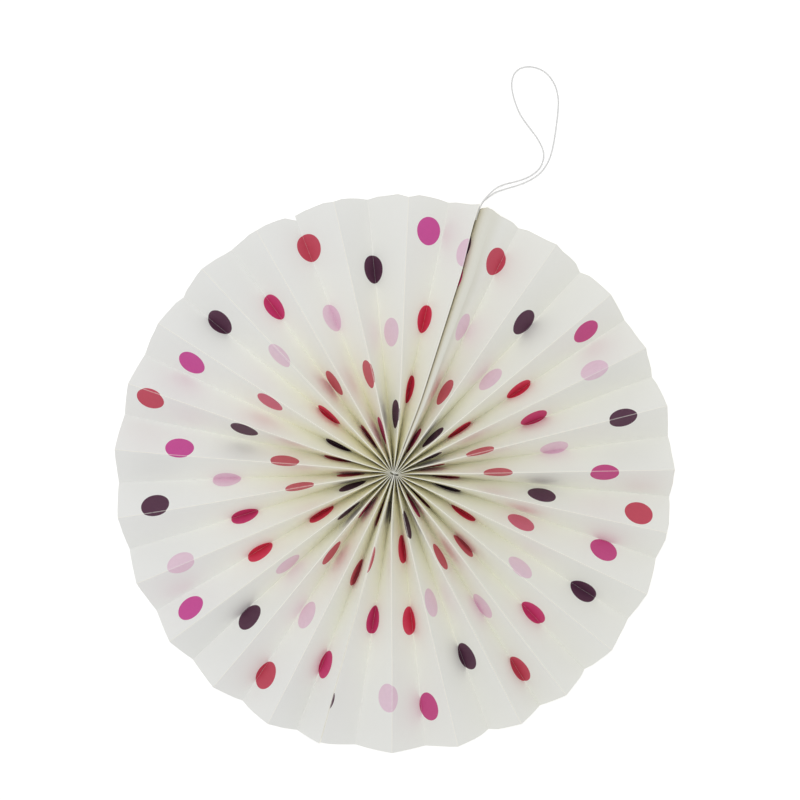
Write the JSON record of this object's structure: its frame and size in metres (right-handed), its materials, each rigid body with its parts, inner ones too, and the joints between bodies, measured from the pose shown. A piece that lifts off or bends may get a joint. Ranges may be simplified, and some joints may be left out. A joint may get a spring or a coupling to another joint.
{
  "type": "paper fan rosette",
  "caption": "Round wall or ceiling decoration of two pleated paper half circles glued at two seams, gathered at the eye by a thread and hung by a thread loop.",
  "frame": {"origin": "centre of the rosette at the plane that its back folds lie on", "axes": "+Z out of the front face, +Y towards the top of the rosette, with the upper seam 17.6 degrees clockwise from +Y"},
  "size_m": [0.2999, 0.3707, 0.0236],
  "materials": {
    "printed_paper": "uncoated matt, printed with spots",
    "clear_tape": "double-sided adhesive film",
    "white_thread": "twisted cotton"
  },
  "bodies": {
    "root": {"right_sheet": "printed_paper", "left_sheet": "printed_paper", "upper_seam_tape": "clear_tape", "lower_seam_tape": "clear_tape", "centre_tie": "white_thread", "loop_knot": "white_thread", "hanging_loop": "white_thread"}
  },
  "joints": []
}
